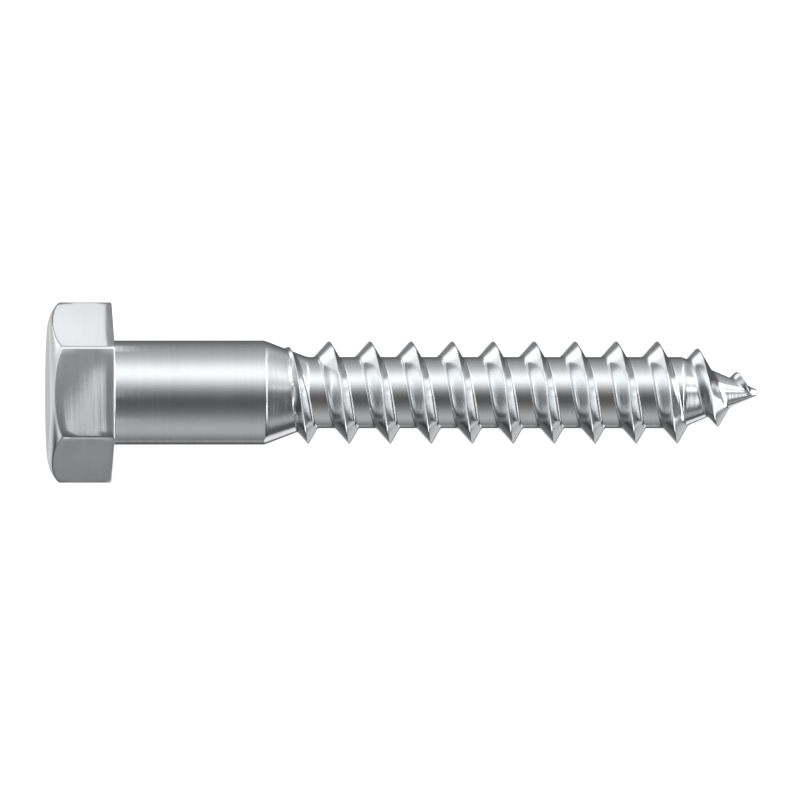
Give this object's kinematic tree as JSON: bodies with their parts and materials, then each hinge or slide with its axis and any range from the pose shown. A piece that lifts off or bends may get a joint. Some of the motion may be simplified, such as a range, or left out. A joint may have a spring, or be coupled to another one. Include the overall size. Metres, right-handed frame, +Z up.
{
  "type": "lag screw",
  "caption": "Lag screw with a chamfered hexagon head, a plain shank, a coarse wood thread and a tapered point.",
  "frame": {"origin": "middle of the bearing face, the underside of the head, on the screw's own axis", "axes": "+X from the head towards the point as the screw lies on a floor, +Z up. The screw's own axis drops 2.93 degrees from +X towards -Z, because the screw rests on a flat of its head and on a crest of its thread. +Y and -Y go through two corners of the head."},
  "size_m": [0.063, 0.016, 0.0141],
  "materials": {
    "zinc_plated_steel": "bright zinc plating, semi-gloss, fine lines from drawing and rolling"
  },
  "bodies": {
    "root": {"lag_screw": "zinc_plated_steel"}
  },
  "joints": []
}
